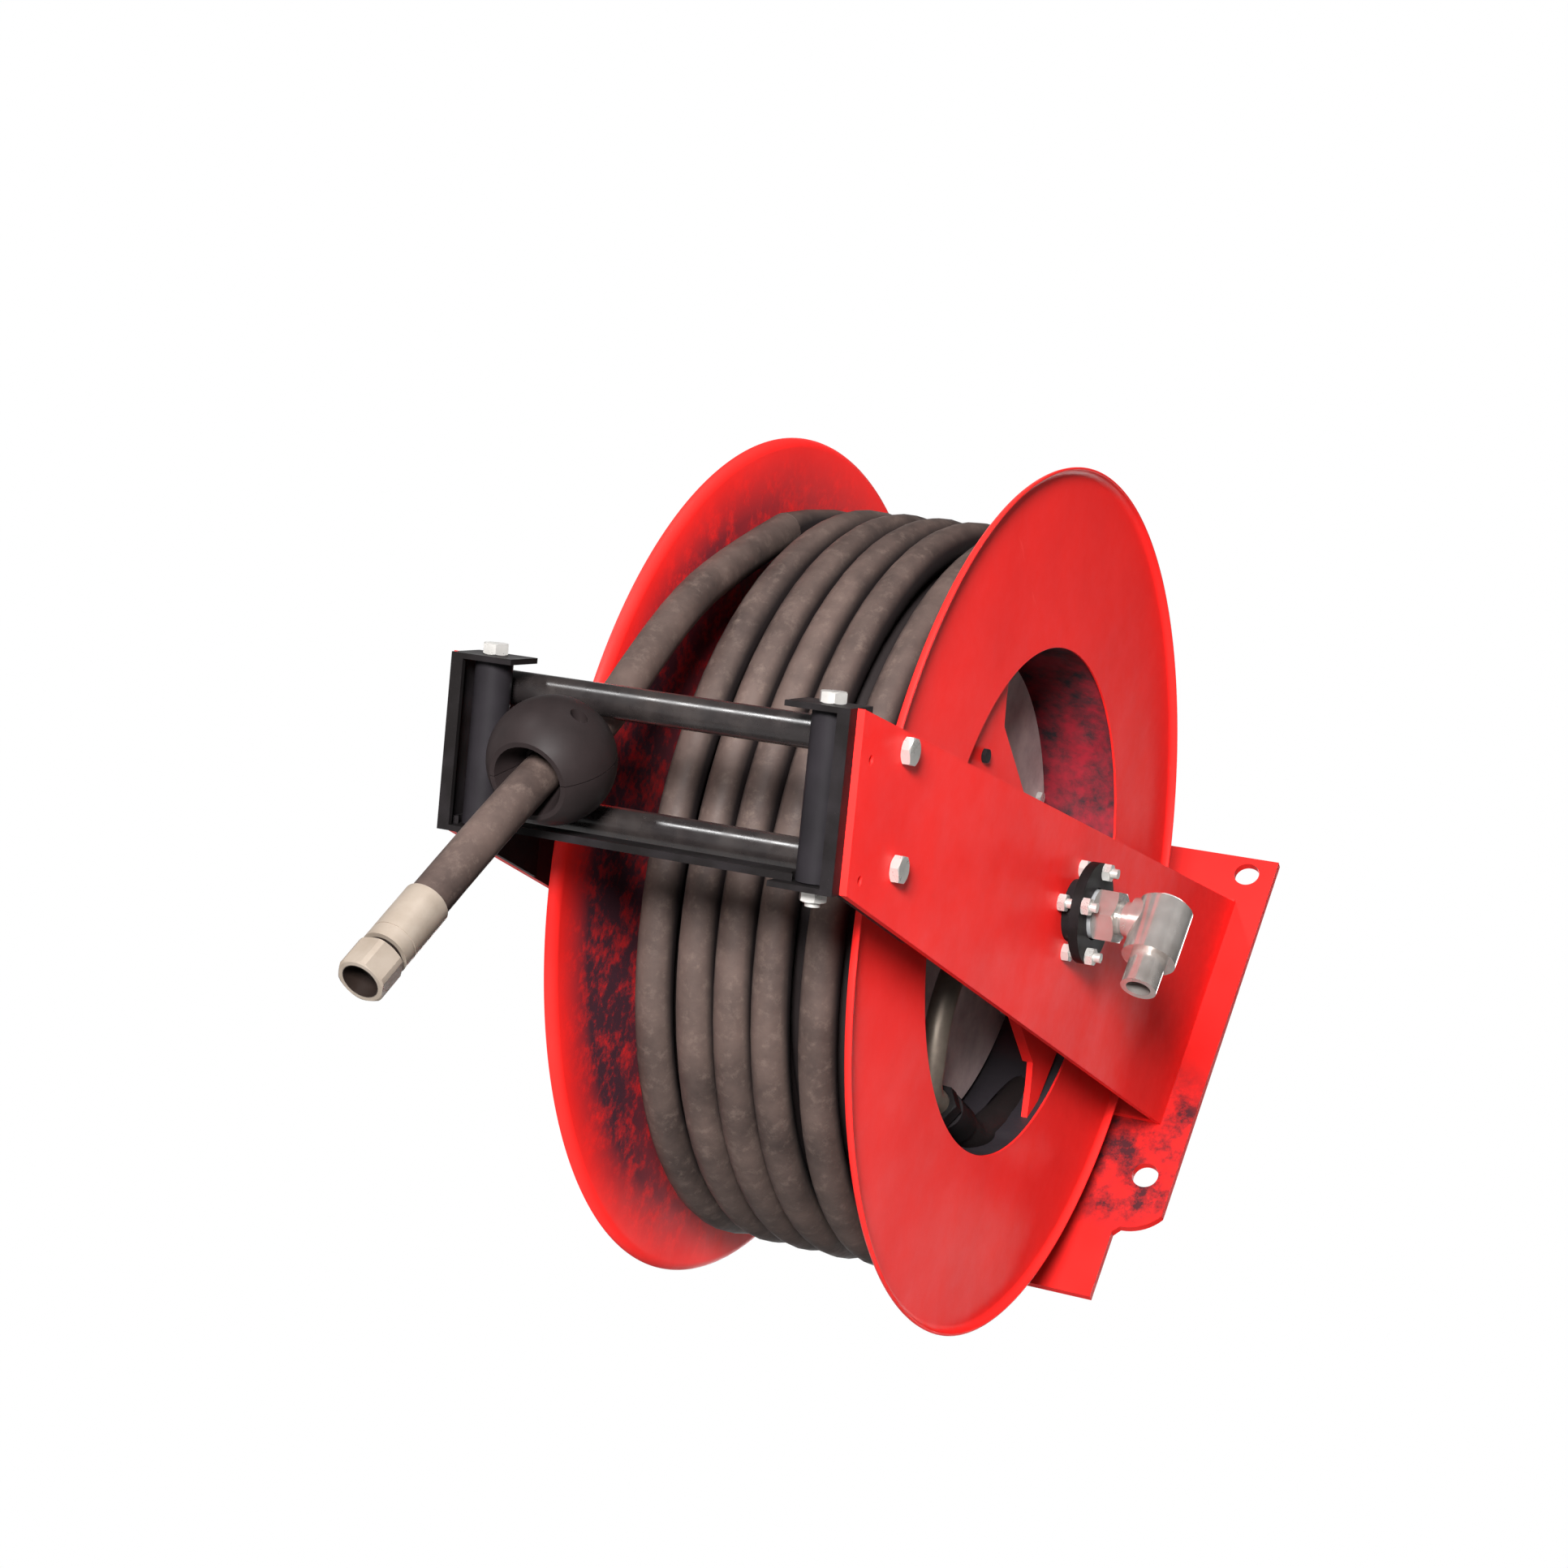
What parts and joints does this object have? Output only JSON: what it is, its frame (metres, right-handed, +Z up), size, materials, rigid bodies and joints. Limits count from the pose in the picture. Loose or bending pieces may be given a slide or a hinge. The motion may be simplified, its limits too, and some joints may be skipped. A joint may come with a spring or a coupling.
{
  "type": "fire hose reel",
  "caption": "Wall-mounted spring-rewind fire hose reel: open red drum on two tapered arms, rubber hose, four-roller guide, ball stop and swivel water inlet.",
  "frame": {"origin": "centre of the four wall bolts on the back face of the base plate", "axes": "+Y into the wall, +Z up, X along the drum's axis with +X on the water inlet's side"},
  "size_m": [0.3315, 0.6962, 0.6007],
  "materials": {
    "red_paint": "glossy red powder coat",
    "core_paint": "thin red overspray on dark primer",
    "black_paint": "satin black powder coat",
    "black_plastic": "moulded black plastic, slightly glossy",
    "zinc_steel": "bright zinc plate",
    "plain_steel": "machined steel",
    "spring_steel": "oiled spring steel",
    "nickel": "nickel plated brass",
    "warm_zinc": "warm yellow zinc plate",
    "bronze": "sintered bronze",
    "hose_rubber": "matt grey-black rubber with a soft sheen"
  },
  "bodies": {
    "frame": {"base_plate": "red_paint", "arm_right": "red_paint", "arm_left": "red_paint", "foot_studs": "zinc_steel", "foot_nuts": "zinc_steel", "bearing_housing": "black_paint", "shaft_bush": "bronze", "gland_plate": "black_paint", "gland_studs": "zinc_steel", "gland_nuts": "zinc_steel", "spring_arbor": "plain_steel", "power_spring": "spring_steel", "arbor_flange": "black_paint", "arbor_flange_bolts": "zinc_steel", "arbor_end_nut": "zinc_steel", "pawl_pin": "zinc_steel", "pawl_spring": "spring_steel", "guide_bracket_right": "black_paint", "guide_bracket_left": "black_paint", "guide_bolts": "zinc_steel", "guide_nuts": "zinc_steel", "side_axle_bolts": "zinc_steel", "side_axle_nuts": "zinc_steel", "cross_axles": "zinc_steel", "guide_tie_bar": "black_paint", "hose_lead": "hose_rubber", "ball_half_upper": "black_plastic", "ball_half_lower": "black_plastic", "ball_screws": "zinc_steel", "hose_ferrule": "warm_zinc"},
    "drum": {"disc_right": "red_paint", "disc_left": "red_paint", "drum_core": "core_paint", "hub_bar_right": "red_paint", "hub_bar_left": "red_paint", "bar_lugs_right": "red_paint", "bar_lugs_left": "red_paint", "bar_screws": "black_paint", "hollow_shaft": "plain_steel", "hub_bolts": "zinc_steel", "swivel_adaptor": "nickel", "left_hub": "zinc_steel", "arbor_bush": "bronze", "ratchet_wheel": "zinc_steel", "spring_case": "black_paint", "case_blocks": "black_paint", "spring_cover": "black_paint", "cover_screws": "zinc_steel", "outlet_pipe": "warm_zinc", "outlet_ferrule": "black_paint", "hose_tail": "hose_rubber", "hose_winding": "hose_rubber"},
    "inlet": {"inlet_elbow": "nickel"},
    "pawl": {"pawl": "zinc_steel"},
    "side_roller_right": {"side_roller_right": "black_plastic"},
    "side_roller_left": {"side_roller_left": "black_plastic"},
    "top_roller": {"top_roller": "black_plastic"},
    "bottom_roller": {"bottom_roller": "black_plastic"},
    "end_nut": {"hose_end_nut": "warm_zinc"}
  },
  "joints": [
    {"name": "drum_spin", "type": "hinge", "parent": "frame", "child": "drum", "pos_m": [0, -0.299, -0.102], "axis": [1, 0, 0], "range_deg": [0, 6480], "stiffness_Nm_per_rad": 0.1, "springref_deg": -5729.58},
    {"name": "inlet_swivel", "type": "hinge", "parent": "frame", "child": "inlet", "pos_m": [0.175, -0.299, -0.102], "axis": [1, 0, 0], "continuous": true},
    {"name": "pawl_swing", "type": "hinge", "parent": "frame", "child": "pawl", "pos_m": [-0.099, -0.38, -0.13638], "axis": [-1, 0, 0], "range_deg": [0, 11.5], "stiffness_Nm_per_rad": 0.05, "springref_deg": -28.65},
    {"name": "side_roller_right_spin", "type": "hinge", "parent": "frame", "child": "side_roller_right", "pos_m": [0.098, -0.61644, -0.2488], "axis": [0, -0.6428, 0.766], "continuous": true},
    {"name": "side_roller_left_spin", "type": "hinge", "parent": "frame", "child": "side_roller_left", "pos_m": [-0.098, -0.61644, -0.2488], "axis": [0, -0.6428, 0.766], "continuous": true},
    {"name": "top_roller_spin", "type": "hinge", "parent": "frame", "child": "top_roller", "pos_m": [0, -0.61976, -0.21373], "axis": [1, 0, 0], "continuous": true},
    {"name": "bottom_roller_spin", "type": "hinge", "parent": "frame", "child": "bottom_roller", "pos_m": [0, -0.57894, -0.26237], "axis": [1, 0, 0], "continuous": true},
    {"name": "end_nut_spin", "type": "hinge", "parent": "frame", "child": "end_nut", "pos_m": [-0.0531, -0.6664, -0.3769], "axis": [-0.0231, -0.2987, -0.9541], "continuous": true}
  ]
}
